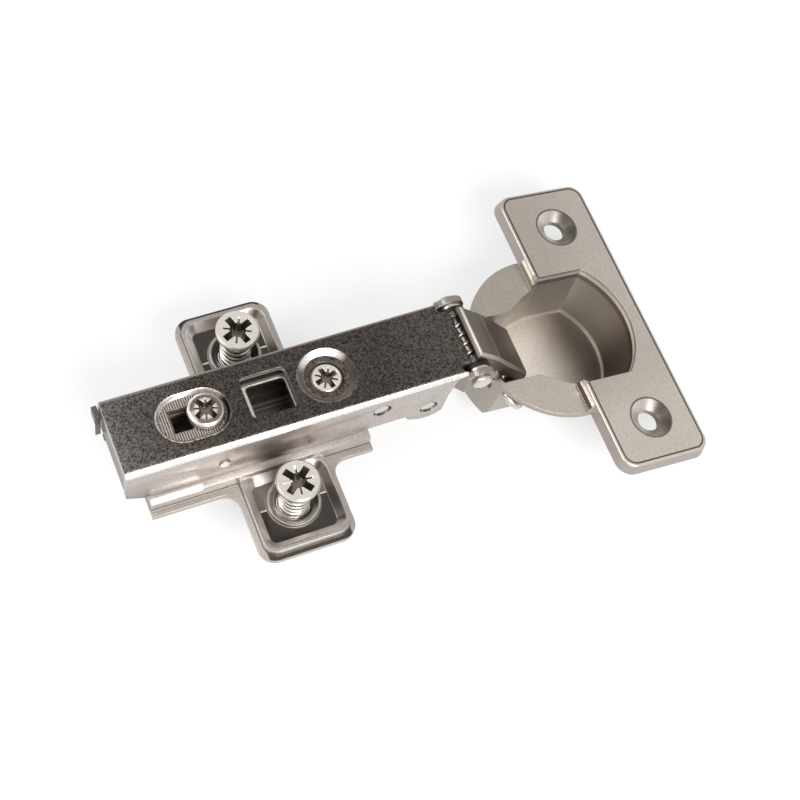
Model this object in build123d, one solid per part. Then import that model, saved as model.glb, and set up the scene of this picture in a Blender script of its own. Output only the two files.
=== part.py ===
from build123d import *
from math import atan2, cos, degrees, hypot, radians, sin, sqrt
import os

os.makedirs("parts", exist_ok=True)

# ------------------------------------------------------------------
# Frame: X runs along the arm to the cup, Z is up from the plate's
# underside, Y = 0 is the plane of symmetry. Millimetres.
# ------------------------------------------------------------------

# Sheet and fits
SHEET = 1.2             # folded steel of plate, arm, head and outer link
THIN_SHEET = 1.1        # carriage, inner link and cup walls
RUN_FIT = 0.05          # radial play of a pin that turns
SIDE_PLAY = 0.1         # play between flat sides that turn past each other
SLIDE_PLAY = 0.2        # play between the nested channels

# Mounting plate
HOLE_SPACING = 32.0
WING_HALF_X = 9.4
WING_REACH = 26.0
WING_CORNER = 3.2
WING_CROTCH = 3.0
LIP_HEIGHT = 1.2
RIM_HEIGHT = 2.6
RIM_INSET = 0.9
RIM_SLOPE = 1.5
FLOOR_HEIGHT = 1.0
SPINE_BACK = -25.3
SPINE_FRONT = 18.0
SPINE_FOOT = 10.8
RAIL_INSET = 1.2
RAIL_LEAN = 14.0
RAIL_TOP = 4.0
RAIL_GUTTER = 7.6
GUTTER_DEPTH = 2.6
BOSS_RADIUS = 5.0
BOSS_HEIGHT = 1.9
PLATE_SLOT = (-20.0, -4.0)

# Euro screws
EURO_HEAD_RADIUS = 4.15
EURO_SHANK_RADIUS = 3.1
EURO_ROOT_RADIUS = 2.5
EURO_TOP = 11.2
EURO_HEAD_RIM = 0.9
EURO_LENGTH = 13.0
EURO_PITCH = 1.5

# Arm
ARM_HALF_WIDTH = 8.0
ARM_TOP = 16.0
ARM_BEND = 1.5
ARM_BACK = -29.4
ARM_WALL_FOOT = 4.7
ARM_TONGUE = 37.6
TONGUE_HALF_WIDTH = 5.6
FLAP_FOOT = 7.6
OVAL_CENTRE = -14.4
OVAL_HALF_LENGTH = 6.8
OVAL_HALF_WIDTH = 4.8
OVAL_DEPTH = 0.9
ARM_SLOT = (-18.4, -9.5)
ARM_WINDOW = (-4.6, 4.2)
WINDOW_HALF_WIDTH = 4.2
DIMPLE_X = 11.2
DIMPLE_RADIUS = 5.5
DIMPLE_DEPTH = 1.0

# Screws in the arm
CLAMP_X = -12.1
CLAMP_HEAD_RADIUS = 3.4
CLAMP_SHANK_RADIUS = 2.0
CLAMP_HEAD_RISE = 1.9
OVERLAY_RADIUS = 3.0
OVERLAY_NECK = 1.5
SLOT_HALF_WIDTH = 2.2

# Carriage between plate and arm
CARRIAGE_BACK = -23.0
CARRIAGE_FRONT = 17.0
CARRIAGE_TOP = 13.2
CARRIAGE_WINDOW = (-3.4, 4.2)
CARRIAGE_WINDOW_HALF = 3.4

# Pivots
KNUCKLE = (39.3, 12.7)
ARM_PIVOT = (29.8, 5.8)
HEAD_PIN = (19.6, 10.8)
CLIP_PIN = (-10.9, 9.1)
KNUCKLE_PIN_RADIUS = 1.2
KNUCKLE_HEAD_RADIUS = 1.9
EAR_RADIUS = 2.9
EAR_INSIDE = 7.3
RIVET_RADIUS = 1.45
CLIP_PIN_RADIUS = 1.0

# Links
LINK_HALF_WIDTH = 5.6
LINK_BEND = 1.0
LINK_CREST = (40.0, 17.0)
LINK_CREASE = (44.8, 12.0)
LINK_TOE = (52.9, 1.2)
FLANGE_DEPTH = 2.6
TOE_EYE_RADIUS = 2.3
INNER_LINK_HALF_WIDTH = 4.1
INNER_EYE_RADIUS = 2.1
LINK_PIN_WAIST = 1.2
LINK_SLOT = ((-1.45, -0.8), (1.3, -0.2), (2.0, 0.3), (1.2, 0.85), (-0.1, 0.5))
SLOT_PLAY = 0.2

# Cup
CUP_ORIGIN = (71.2, 0.0, 3.3)
CUP_TILT = 9.2
CUP_RADIUS = 17.5
CUP_OFFSET = -10.0
CUP_FLOOR = -12.6
CUP_WALL = 1.1
FLANGE_HALF_LENGTH = 31.5
FLANGE_LEFT = -9.6
FLANGE_RIGHT = 9.8
FLANGE_CORNER = 2.8
FLANGE_SKIRT = 2.5
CUP_SCREW_SPACING = 45.0
CUP_SCREW_U = 0.4
CUP_SCREW_HOLE = 2.2
CUP_SCREW_SINK = 4.2
CUP_SINK_DEPTH = 1.4
CUP_SCREW_BOSS = 5.2
CHANNEL_HALF_WIDTH = 7.1
WIRE_RADIUS = 0.8
STAPLE_FAR_LEG = (-24.0, -5.2)
STAPLE_NEAR_LEG = (-20.0, -8.2)
STAPLE_REACH = 8.2

# Spring
SPRING_WIRE = 0.4
SPRING_INNER = 1.3
SPRING_PITCH = 2.0
SPRING_TURNS = 4

ARM_INSIDE = ARM_HALF_WIDTH - SHEET
ARM_UNDER_TOP = ARM_TOP - SHEET
OVAL_FLOOR = ARM_TOP - OVAL_DEPTH
DIMPLE_FLOOR = ARM_TOP - DIMPLE_DEPTH
CARRIAGE_HALF_WIDTH = ARM_INSIDE - SLIDE_PLAY
EAR_OUTSIDE = EAR_INSIDE + SHEET
EURO_HOLE_RADIUS = EURO_SHANK_RADIUS + RUN_FIT


# ------------------------------------------------------------------
# Small helpers
# ------------------------------------------------------------------
def block(x0, x1, y0, y1, z0, z1):
    """Box between two corners."""
    centre = ((x0 + x1) / 2, (y0 + y1) / 2, (z0 + z1) / 2)
    return Location(centre) * Box(x1 - x0, y1 - y0, z1 - z0)


def upright(x, y, radius, z0, z1):
    """Cylinder along Z."""
    return Location((x, y, (z0 + z1) / 2)) * Cylinder(radius, z1 - z0)


def crossways(point, radius, y0, y1):
    """Cylinder along Y through a point of the XZ plane."""
    place = Location((point[0], (y0 + y1) / 2, point[1]), (90, 0, 0))
    return place * Cylinder(radius, y1 - y0)


def funnel(x, y, low_radius, high_radius, z0, z1):
    """Cone along Z."""
    return Location((x, y, (z0 + z1) / 2)) * Cone(low_radius, high_radius, z1 - z0)


def side_plate(face, y0, y1):
    """A profile drawn in (X, Z), given thickness along Y."""
    return extrude(Plane.XZ.offset(-y1) * face, amount=y1 - y0)


def disc(point, radius):
    """Circle of a side profile."""
    return Pos(point[0], point[1]) * Circle(radius)


def outline(points):
    """Closed polygon, its points given in order."""
    return make_face(Polyline(*points, close=True))


def both_sides(solid):
    """The solid together with its mirror image in Y = 0."""
    return solid + mirror(solid, about=Plane.XZ)


def shifted(point, direction, distance):
    return (point[0] + direction[0] * distance, point[1] + direction[1] * distance)


def unit(start, end):
    """Direction from start to end, and the normal on its right hand side."""
    length = hypot(end[0] - start[0], end[1] - start[1])
    along = ((end[0] - start[0]) / length, (end[1] - start[1]) / length)
    return along, (along[1], -along[0])


# ------------------------------------------------------------------
# Mounting plate
# ------------------------------------------------------------------
def plate_outline(grow):
    """Plan of the plate, spine and wings, with rounded corners."""
    wings = Rectangle(2 * (WING_HALF_X + grow), 2 * (WING_REACH + grow))
    length = SPINE_FRONT - SPINE_BACK
    spine = Pos((SPINE_FRONT + SPINE_BACK) / 2, 0) * Rectangle(length, 2 * SPINE_FOOT)
    plan = wings + spine
    crotch = [v for v in plan.vertices() if abs(abs(v.Y) - SPINE_FOOT) < 0.01 and abs(v.X) < 12]
    tips = [v for v in plan.vertices() if abs(v.Y) > SPINE_FOOT + 1]
    plan = fillet(crotch, WING_CROTCH)
    tips = [v for v in plan.vertices() if abs(v.Y) > WING_REACH - 0.5]
    return fillet(tips, WING_CORNER)


def make_mounting_plate():
    plate = extrude(plate_outline(0.0), LIP_HEIGHT)

    rim_half_x = WING_HALF_X - RIM_INSET
    rim_reach = WING_REACH - RIM_INSET
    rim = RectangleRounded(2 * rim_half_x, 2 * rim_reach, WING_CORNER - 0.6)
    plate += Pos(0, 0, LIP_HEIGHT) * extrude(rim, RIM_HEIGHT - LIP_HEIGHT, taper=8)

    for side in (-1, 1):
        near_edge = SPINE_FOOT + 0.2
        far_edge = rim_reach - RIM_SLOPE - 1.0
        floor = RectangleRounded(2 * (rim_half_x - RIM_SLOPE - 0.5), far_edge - near_edge, 1.2)
        place = Pos(0, side * (far_edge + near_edge) / 2, FLOOR_HEIGHT)
        plate -= place * extrude(floor, RIM_HEIGHT - FLOOR_HEIGHT, taper=-43)

    rail_half = SPINE_FOOT - RAIL_INSET
    length = SPINE_FRONT - SPINE_BACK
    rail = Pos((SPINE_FRONT + SPINE_BACK) / 2, 0, 0) * Rectangle(length, 2 * rail_half)
    plate += extrude(rail, RAIL_TOP, taper=RAIL_LEAN * LIP_HEIGHT / RAIL_TOP)

    gutter = block(SPINE_BACK + 1.6, SPINE_FRONT - 1.6, -RAIL_GUTTER, RAIL_GUTTER, -1, GUTTER_DEPTH)
    plate -= gutter
    slot_half = CLAMP_SHANK_RADIUS + 0.3
    plate -= block(PLATE_SLOT[0], PLATE_SLOT[1], -slot_half, slot_half, 0, RAIL_TOP + 1)

    for side in (-1, 1):
        y = side * HOLE_SPACING / 2
        plate += upright(0, y, BOSS_RADIUS, 0, BOSS_HEIGHT)
        plate -= upright(0, y, EURO_HOLE_RADIUS, -1, BOSS_HEIGHT + 1)
        sink = BOSS_HEIGHT - 0.5
        plate -= funnel(0, y, EURO_HOLE_RADIUS, EURO_HOLE_RADIUS + sink, 0.5, BOSS_HEIGHT)
    return plate


def make_euro_screw(side):
    y = side * HOLE_SPACING / 2
    neck = EURO_TOP - EURO_HEAD_RIM - (EURO_HEAD_RADIUS - EURO_SHANK_RADIUS)
    tip = EURO_TOP - EURO_LENGTH
    threads = int((neck - 1.0 - tip - 1.6) / EURO_PITCH)
    points = [(0, tip), (1.2, tip), (EURO_ROOT_RADIUS, tip + 1.4)]
    for turn in range(threads):
        z = tip + 1.5 + turn * EURO_PITCH
        points += [(EURO_ROOT_RADIUS, z), (EURO_SHANK_RADIUS, z + 0.6), (EURO_SHANK_RADIUS, z + 0.8)]
        points += [(EURO_ROOT_RADIUS, z + EURO_PITCH - 0.1)]
    points += [(EURO_ROOT_RADIUS, neck - 0.6), (EURO_SHANK_RADIUS, neck)]
    points += [(EURO_HEAD_RADIUS, EURO_TOP - EURO_HEAD_RIM), (EURO_HEAD_RADIUS, EURO_TOP - 0.3)]
    points += [(EURO_HEAD_RADIUS - 0.3, EURO_TOP), (0, EURO_TOP)]
    screw = revolve(Plane.XZ * outline(points), Axis.Z)
    return Pos(0, y, 0) * (screw - cross_recess(EURO_TOP, 2.6, 2.6))


def cross_recess(top, half_width, depth):
    """Tapered cross recess sunk from a screw head's top."""
    arms = Rectangle(2 * half_width, 0.9) + Rectangle(0.9, 2 * half_width) + Circle(1.1)
    tool = Pos(0, 0, top - depth) * extrude(arms, depth + 0.1)
    cone = funnel(0, 0, 0.5, half_width + 0.25, top - depth, top + 0.1)
    return tool & cone


# ------------------------------------------------------------------
# Clamp screw, nut and carriage
# ------------------------------------------------------------------
def make_clamp_screw():
    seat = OVAL_FLOOR + 0.15
    top = seat + CLAMP_HEAD_RISE
    points = [(0, LIP_HEIGHT), (CLAMP_SHANK_RADIUS, LIP_HEIGHT), (CLAMP_SHANK_RADIUS, seat)]
    points += [(CLAMP_HEAD_RADIUS, seat), (CLAMP_HEAD_RADIUS, seat + 0.9)]
    points += [(CLAMP_HEAD_RADIUS - 0.5, top - 0.45), (CLAMP_HEAD_RADIUS - 1.5, top), (0, top)]
    screw = revolve(Plane.XZ * outline(points), Axis.Z)
    return Pos(CLAMP_X, 0, 0) * (screw - cross_recess(top, 2.3, 2.0))


def make_clamp_nut():
    half = RAIL_GUTTER - 3.2
    nut = block(CLAMP_X - 3.6, CLAMP_X + 3.6, -half, half, 0.4, GUTTER_DEPTH)
    return nut - upright(CLAMP_X, 0, CLAMP_SHANK_RADIUS, 0, RAIL_TOP)


def make_clip_carriage():
    half = CARRIAGE_HALF_WIDTH
    foot = RAIL_TOP + SIDE_PLAY
    shell = block(CARRIAGE_BACK, CARRIAGE_FRONT, -half, half, foot, CARRIAGE_TOP)
    long_edges = shell.edges().filter_by(Axis.X).group_by(Axis.Z)[-1]
    shell = fillet(long_edges, 1.3)
    inside = half - THIN_SHEET
    shell -= block(CARRIAGE_BACK - 1, CARRIAGE_FRONT + 1, -inside, inside, 0, CARRIAGE_TOP - THIN_SHEET)
    slot_half = SLOT_HALF_WIDTH
    shell -= block(ARM_SLOT[0], ARM_SLOT[1], -slot_half, slot_half, 0, CARRIAGE_TOP + 1)
    window = block(CARRIAGE_WINDOW[0], CARRIAGE_WINDOW[1], -CARRIAGE_WINDOW_HALF, CARRIAGE_WINDOW_HALF, 8, 20)
    shell -= fillet(window.edges().filter_by(Axis.Z), 0.8)
    shell -= crossways(CLIP_PIN, CLIP_PIN_RADIUS + RUN_FIT, -half - 1, half + 1)
    shell -= upright(DIMPLE_X, 0, OVERLAY_NECK + RUN_FIT, 8, 20)
    return shell


def make_overlay_screw():
    top = DIMPLE_FLOOR - 0.1
    seat = CARRIAGE_TOP + 0.05
    under = CARRIAGE_TOP - THIN_SHEET - 0.05
    points = [(0, under - 0.8), (2.3, under - 0.8), (2.3, under), (OVERLAY_NECK, under)]
    points += [(OVERLAY_NECK, seat), (OVERLAY_RADIUS, seat), (OVERLAY_RADIUS, top - 0.3)]
    points += [(OVERLAY_RADIUS - 0.3, top), (0, top)]
    screw = revolve(Plane.XZ * outline(points), Axis.Z)
    return Pos(DIMPLE_X, 0, 0) * (screw - cross_recess(top, 2.1, 1.5))


# ------------------------------------------------------------------
# Arm
# ------------------------------------------------------------------
def arm_side_profile():
    points = [(ARM_BACK, ARM_TOP), (ARM_BACK, 6.7), (-25.9, ARM_WALL_FOOT), (25.2, ARM_WALL_FOOT)]
    points += [(25.9, 3.2), (28.2, 2.0), (30.2, 1.7), (31.8, 2.2), (32.9, 3.2), (33.4, 9.5)]
    points += [(34.6, ARM_UNDER_TOP), (ARM_TONGUE, ARM_UNDER_TOP), (ARM_TONGUE, ARM_TOP)]
    return outline(points)


def make_hinge_arm():
    half = ARM_HALF_WIDTH
    shell = block(ARM_BACK, ARM_TONGUE, -half, half, 0, ARM_TOP)
    shell = fillet(shell.edges().filter_by(Axis.X).group_by(Axis.Z)[-1], ARM_BEND)
    inside = block(ARM_BACK - 1, ARM_TONGUE + 1, -ARM_INSIDE, ARM_INSIDE, -1, ARM_UNDER_TOP)
    inside = fillet(inside.edges().filter_by(Axis.X).group_by(Axis.Z)[-1], 0.4)
    arm = (shell - inside) & side_plate(arm_side_profile(), -half - 1, half + 1)

    shoulder = ARM_TONGUE - 1.1
    for side in (-1, 1):
        y0, y1 = sorted((side * TONGUE_HALF_WIDTH, side * (half + 1)))
        arm -= block(shoulder, ARM_TONGUE + 1, y0, y1, 0, ARM_TOP + 1)
        y0, y1 = sorted((side * (TONGUE_HALF_WIDTH + 1.2), side * (half + 1)))
        arm -= upright(shoulder, side * (TONGUE_HALF_WIDTH + 0.9), 0.9, 0, ARM_TOP + 1)

    flap_half = ARM_INSIDE - 0.05
    arm += block(ARM_BACK, ARM_BACK + SHEET, -flap_half, flap_half, FLAP_FOOT, ARM_TOP - 0.4)

    deck = ARM_TOP - OVAL_DEPTH - SHEET
    oval = SlotOverall(2 * OVAL_HALF_LENGTH, 2 * OVAL_HALF_WIDTH)
    pan = SlotOverall(2 * OVAL_HALF_LENGTH - 1.2, 2 * OVAL_HALF_WIDTH - 1.2)
    arm += Pos(OVAL_CENTRE, 0, deck) * extrude(oval, SHEET + 0.2)
    arm -= Pos(OVAL_CENTRE, 0, OVAL_FLOOR) * extrude(pan, 2.0, taper=-30)
    arm -= block(ARM_SLOT[0], ARM_SLOT[1], -SLOT_HALF_WIDTH, SLOT_HALF_WIDTH, 8, 20)

    window = block(ARM_WINDOW[0], ARM_WINDOW[1], -WINDOW_HALF_WIDTH, WINDOW_HALF_WIDTH, 8, 20)
    arm -= fillet(window.edges().filter_by(Axis.Z), 1.0)

    arm += upright(DIMPLE_X, 0, DIMPLE_RADIUS, DIMPLE_FLOOR - SHEET, ARM_UNDER_TOP + 0.1)
    arm -= funnel(DIMPLE_X, 0, DIMPLE_RADIUS - 1.1, DIMPLE_RADIUS, DIMPLE_FLOOR, ARM_TOP)
    arm -= upright(DIMPLE_X, 0, OVERLAY_RADIUS + 0.2, 8, 20)

    for point in (HEAD_PIN, ARM_PIVOT):
        lifted = (point[0], point[1] + 0.3)
        hole = RIVET_RADIUS + 0.35
        arm -= crossways(lifted, hole, -half - 1, half + 1)
    arm -= crossways(CLIP_PIN, CLIP_PIN_RADIUS, -half - 1, half + 1)
    return arm


# ------------------------------------------------------------------
# Hinge head with its ears, pins and washers
# ------------------------------------------------------------------
def cheek_plan():
    """Plan of one cheek: straight, then cranked outward to the ear."""
    inner = ARM_INSIDE - SHEET
    tip = KNUCKLE[0] + EAR_RADIUS + 1
    crank = KNUCKLE[0] - 4.1
    points = [(17.4, inner), (crank, inner), (crank + 1.4, EAR_INSIDE), (tip, EAR_INSIDE)]
    points += [(tip, EAR_OUTSIDE), (crank + 1.0, EAR_OUTSIDE), (crank - 0.4, ARM_INSIDE), (17.4, ARM_INSIDE)]
    return outline(points)


def cheek_profile():
    top = ARM_UNDER_TOP
    points = [(17.4, top), (17.4, 7.2), (24.6, 5.4), (27.2, 4.0), ARM_PIVOT, (32.4, 5.4), (32.8, 9.0)]
    points += [(35.6, 9.3), (38.4, KNUCKLE[1] - EAR_RADIUS + 0.15), KNUCKLE, (37.6, top + 0.25), (36.4, top)]
    return outline(points) + disc(KNUCKLE, EAR_RADIUS) + disc(ARM_PIVOT, 2.7)


def make_hinge_head():
    plan = extrude(cheek_plan(), 30)
    profile = side_plate(cheek_profile(), 0, 12)
    head = both_sides(plan & profile)
    head += block(17.4, 33.2, -ARM_INSIDE, ARM_INSIDE, ARM_UNDER_TOP - SHEET, ARM_UNDER_TOP)
    for side in (-1, 1):
        corner = Pos(0, side * ARM_INSIDE, ARM_UNDER_TOP) * Rot(45, 0, 0) * Box(100, 0.6, 0.6)
        head -= corner
    head -= crossways(HEAD_PIN, RIVET_RADIUS, -12, 12)
    head -= crossways(ARM_PIVOT, RIVET_RADIUS, -12, 12)
    head -= crossways(KNUCKLE, KNUCKLE_PIN_RADIUS, -12, 12)
    return head


def make_rivet(point, waist):
    """Flush rivet through both cheeks, turned down to its waist between them."""
    end = ARM_HALF_WIDTH - 0.3
    shoulder = ARM_INSIDE - SHEET
    stub = crossways(point, RIVET_RADIUS, shoulder, end)
    return crossways(point, waist, -shoulder, shoulder) + both_sides(stub)


def make_knuckle_pin():
    pin = crossways(KNUCKLE, KNUCKLE_PIN_RADIUS, -EAR_OUTSIDE, EAR_OUTSIDE)
    head = crossways(KNUCKLE, KNUCKLE_HEAD_RADIUS, EAR_OUTSIDE, EAR_OUTSIDE + 0.9)
    rims = head.edges().filter_by(GeomType.CIRCLE).group_by(Axis.Y)[-1]
    return pin + both_sides(fillet(rims, 0.55))


def make_washer(y0, y1, radius):
    ring = crossways(KNUCKLE, radius, y0, y1)
    return ring - crossways(KNUCKLE, KNUCKLE_PIN_RADIUS, y0 - 1, y1 + 1)


def make_torsion_spring():
    mean = SPRING_INNER + SPRING_WIRE
    height = SPRING_PITCH * SPRING_TURNS
    helix = Helix(SPRING_PITCH, height, mean)
    start = Plane(origin=helix @ 0, z_dir=helix % 0)
    coil = sweep(start * Circle(SPRING_WIRE), path=helix, is_frenet=True)
    place = Location((KNUCKLE[0], height / 2, KNUCKLE[1]), (90, 0, 0)) * Rot(0, 0, -90)
    coil = place * coil
    spring = coil
    for side in (-1, 1):
        low = KNUCKLE[1] - mean
        leg = Location((KNUCKLE[0] - 3.6, side * height / 2, low), (0, 90, 0))
        spring += leg * Cylinder(SPRING_WIRE, 7.2)
    return spring


# ------------------------------------------------------------------
# Links
# ------------------------------------------------------------------
def cup_to_world(point):
    """(u, w) of the cup's own section into (X, Z)."""
    tilt = radians(CUP_TILT)
    x = CUP_ORIGIN[0] + point[0] * cos(tilt) + point[1] * sin(tilt)
    z = CUP_ORIGIN[2] - point[0] * sin(tilt) + point[1] * cos(tilt)
    return (x, z)


def make_outer_link():
    toe_pivot = cup_to_world(STAPLE_NEAR_LEG)
    upper, upper_in = unit(LINK_CREST, LINK_CREASE)
    lower, lower_in = unit(LINK_CREASE, LINK_TOE)
    upper_in = (-abs(upper_in[0]), -abs(upper_in[1]))
    lower_in = (-abs(lower_in[0]), -abs(lower_in[1]))
    belly_top = shifted(LINK_CREASE, lower_in, FLANGE_DEPTH)
    belly_end = shifted(LINK_TOE, lower_in, FLANGE_DEPTH)
    crest_in = shifted(LINK_CREST, upper_in, SHEET)
    points = [LINK_CREST, LINK_CREASE, LINK_TOE, (toe_pivot[0] + 2.0, toe_pivot[1] + 0.6), toe_pivot]
    points += [belly_end, belly_top, (KNUCKLE[0] + 1.6, KNUCKLE[1] - 2.0), KNUCKLE]
    points += [(KNUCKLE[0] - 0.4, KNUCKLE[1] + 2.6), crest_in]
    profile = outline(points) + disc(KNUCKLE, EAR_RADIUS - 0.3) + disc(toe_pivot, TOE_EYE_RADIUS)
    solid = side_plate(profile, -LINK_HALF_WIDTH, LINK_HALF_WIDTH)

    def on_web(edge):
        mid = edge @ 0.5
        if abs(abs(mid.Y) - LINK_HALF_WIDTH) > 0.01:
            return False
        ends = (edge @ 0, edge @ 1)
        for a, b in ((LINK_CREST, LINK_CREASE), (LINK_CREASE, LINK_TOE)):
            hits = [min(hypot(e.X - p[0], e.Z - p[1]) for e in ends) < 0.01 for p in (a, b)]
            if all(hits):
                return True
        return False

    solid = fillet([e for e in solid.edges() if on_web(e)], LINK_BEND)
    inner_half = LINK_HALF_WIDTH - SHEET
    past_toe = shifted(LINK_TOE, lower, 6)
    past_crest = shifted(LINK_CREST, upper, -6)
    web_in = [shifted(past_crest, upper_in, SHEET), shifted(LINK_CREASE, lower_in, SHEET)]
    web_in += [shifted(past_toe, lower_in, SHEET)]
    core = outline(web_in + [(40, -20), (20, 0), (25, 20)])
    solid -= side_plate(core, -inner_half, inner_half)
    solid -= crossways(KNUCKLE, KNUCKLE_PIN_RADIUS + RUN_FIT, -12, 12)
    solid -= crossways(toe_pivot, WIRE_RADIUS + RUN_FIT, -12, 12)
    return solid


def make_inner_link():
    cup_pivot = cup_to_world(STAPLE_FAR_LEG)
    half = INNER_LINK_HALF_WIDTH
    inner_half = half - THIN_SHEET
    slot_radius = LINK_PIN_WAIST + SLOT_PLAY
    slot_points = [(ARM_PIVOT[0] + x, ARM_PIVOT[1] + z) for x, z in LINK_SLOT]
    slot = make_hull([e for p in slot_points for e in disc(p, slot_radius).edges()])
    slot_eye = make_hull([e for p in slot_points for e in disc(p, slot_radius + SHEET).edges()])
    bar = make_hull(disc(ARM_PIVOT, 1.9).edges() + disc(cup_pivot, 1.9).edges())
    cheeks = bar + slot_eye + disc(cup_pivot, INNER_EYE_RADIUS)
    solid = side_plate(cheeks, -half, half)

    along, under = unit(ARM_PIVOT, cup_pivot)
    length = hypot(cup_pivot[0] - ARM_PIVOT[0], cup_pivot[1] - ARM_PIVOT[1])
    angle = degrees(atan2(along[1], along[0]))
    web_start = 4.8
    web_end = length - INNER_EYE_RADIUS - 0.5
    web_top = -1.9 + THIN_SHEET
    above = Pos((web_start + web_end) / 2, web_top + 10) * Rectangle(web_end - web_start, 20)
    behind = Pos(web_start - 10, 0) * Rectangle(20, 40)
    ahead = Pos(web_end + 10, 0) * Rectangle(20, 40)
    hollow = Pos(ARM_PIVOT[0], ARM_PIVOT[1]) * Rot(0, 0, angle) * (above + behind + ahead)
    solid -= side_plate(hollow, -inner_half, inner_half)
    solid -= crossways(cup_pivot, WIRE_RADIUS + RUN_FIT, -12, 12)
    solid -= side_plate(slot, -12, 12)
    return solid


# ------------------------------------------------------------------
# Cup with its flange, in its own (u, v, w) frame
# ------------------------------------------------------------------
def pocket_outline(grow, half, radius, channel, corner):
    """Plan of the pocket: channel to the left, D shape to the right."""
    half += grow
    radius += grow
    channel += grow
    reach = CUP_OFFSET + sqrt(radius * radius - half * half)
    left = CUP_OFFSET - CUP_RADIUS - 2
    upper = [(left, channel), (-16.6 - corner, channel), (-12.6, (channel + half) / 2 + 0.4), (-8.6, half)]
    upper += [(reach, half)]
    lower = [(u, -v) for u, v in reversed(upper)]
    lines = [Line(a, b) for a, b in zip(upper[:-1], upper[1:])]
    lines += [ThreePointArc(upper[-1], (CUP_OFFSET + radius, 0), lower[0])]
    lines += [Line(a, b) for a, b in zip(lower[:-1], lower[1:])]
    lines += [Line(lower[-1], upper[0])]
    return make_face(Wire(lines))


def pocket_loft(grow, top, bottom):
    high = Plane.XY.offset(top) * pocket_outline(grow, 12.2, 16.5, CHANNEL_HALF_WIDTH + 0.2, 0.0)
    low = Plane.XY.offset(bottom) * pocket_outline(grow, 9.8, 14.3, CHANNEL_HALF_WIDTH, 1.2)
    return loft([high, low], ruled=True)


def make_cup():
    width = FLANGE_RIGHT - FLANGE_LEFT
    middle = (FLANGE_RIGHT + FLANGE_LEFT) / 2
    flange = RectangleRounded(width + 1.2, 2 * FLANGE_HALF_LENGTH + 1.2, FLANGE_CORNER + 0.5)
    skirt = Pos(middle, 0, -FLANGE_SKIRT) * extrude(flange, FLANGE_SKIRT, taper=13)
    skirt = fillet(skirt.faces().sort_by(Axis.Z)[-1].edges(), 0.5)
    hollow = RectangleRounded(width - 1.4, 2 * FLANGE_HALF_LENGTH - 1.4, FLANGE_CORNER - 0.6)
    skirt -= Pos(middle, 0, -FLANGE_SKIRT - 1) * extrude(hollow, FLANGE_SKIRT + 1 - SHEET, taper=8)
    for side in (-1, 1):
        v = side * CUP_SCREW_SPACING / 2
        skirt += upright(CUP_SCREW_U, v, CUP_SCREW_BOSS, -FLANGE_SKIRT, -SHEET / 2)
        skirt -= upright(CUP_SCREW_U, v, CUP_SCREW_HOLE, -10, 1)
        skirt -= funnel(CUP_SCREW_U, v, CUP_SCREW_HOLE, CUP_SCREW_SINK, -CUP_SINK_DEPTH, 0)

    ledge_top = -FLANGE_SKIRT
    body = upright(CUP_OFFSET, 0, CUP_RADIUS, ledge_top - SHEET, ledge_top)
    drum = upright(CUP_OFFSET, 0, CUP_RADIUS, CUP_FLOOR - 2, 0)
    outer = pocket_loft(CUP_WALL, 0.0, CUP_FLOOR) & drum
    base = extrude(pocket_outline(CUP_WALL, 9.8, 14.3, CHANNEL_HALF_WIDTH, 1.2), -1.0, taper=30)
    base = Pos(0, 0, CUP_FLOOR) * base & drum
    left_cut = block(-40, FLANGE_LEFT - 0.4, -20, 20, ledge_top, 5)
    cup = skirt + body + (outer - left_cut) + base
    bore = upright(CUP_OFFSET, 0, CUP_RADIUS - CUP_WALL, CUP_FLOOR, 3)
    cup -= pocket_loft(0.0, 0.0, CUP_FLOOR) & bore
    cup -= Pos(0, 0, -0.01) * extrude(pocket_outline(0.0, 12.2, 16.5, CHANNEL_HALF_WIDTH + 0.2, 0.0), 1) & bore
    gate = block(-40, -22, -4.6, 4.6, -9.0, 5) + block(-40, -22, -6.2, 6.2, -6.0, 5)
    cup -= gate
    for leg in (STAPLE_FAR_LEG, STAPLE_NEAR_LEG):
        cup -= crossways(leg, WIRE_RADIUS, -12, 12)
    return cup


def make_cup_staple():
    far, near = STAPLE_FAR_LEG, STAPLE_NEAR_LEG
    legs = crossways(far, WIRE_RADIUS, -STAPLE_REACH, STAPLE_REACH)
    legs += crossways(near, WIRE_RADIUS, -STAPLE_REACH, STAPLE_REACH)
    spacing = hypot(far[0] - near[0], far[1] - near[1])
    ring = Pos(spacing / 2, 0, 0) * Rot(90, 0, 0) * Circle(WIRE_RADIUS)
    bend = revolve(ring, Axis.Z, 180)
    angle = degrees(atan2(far[1] - near[1], far[0] - near[0]))
    centre = ((far[0] + near[0]) / 2, -STAPLE_REACH, (far[1] + near[1]) / 2)
    turned = Location(centre) * Rot(0, -angle, 0) * Rot(0, 0, 180) * bend
    return legs + turned


# ------------------------------------------------------------------
# Clip pins, lever and spring at the back of the arm
# ------------------------------------------------------------------
def make_clip_pin(side):
    inner = CARRIAGE_HALF_WIDTH - THIN_SHEET - 1.9
    y0, y1 = sorted((side * inner, side * (ARM_HALF_WIDTH + 0.2)))
    return crossways(CLIP_PIN, CLIP_PIN_RADIUS, y0, y1)


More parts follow.
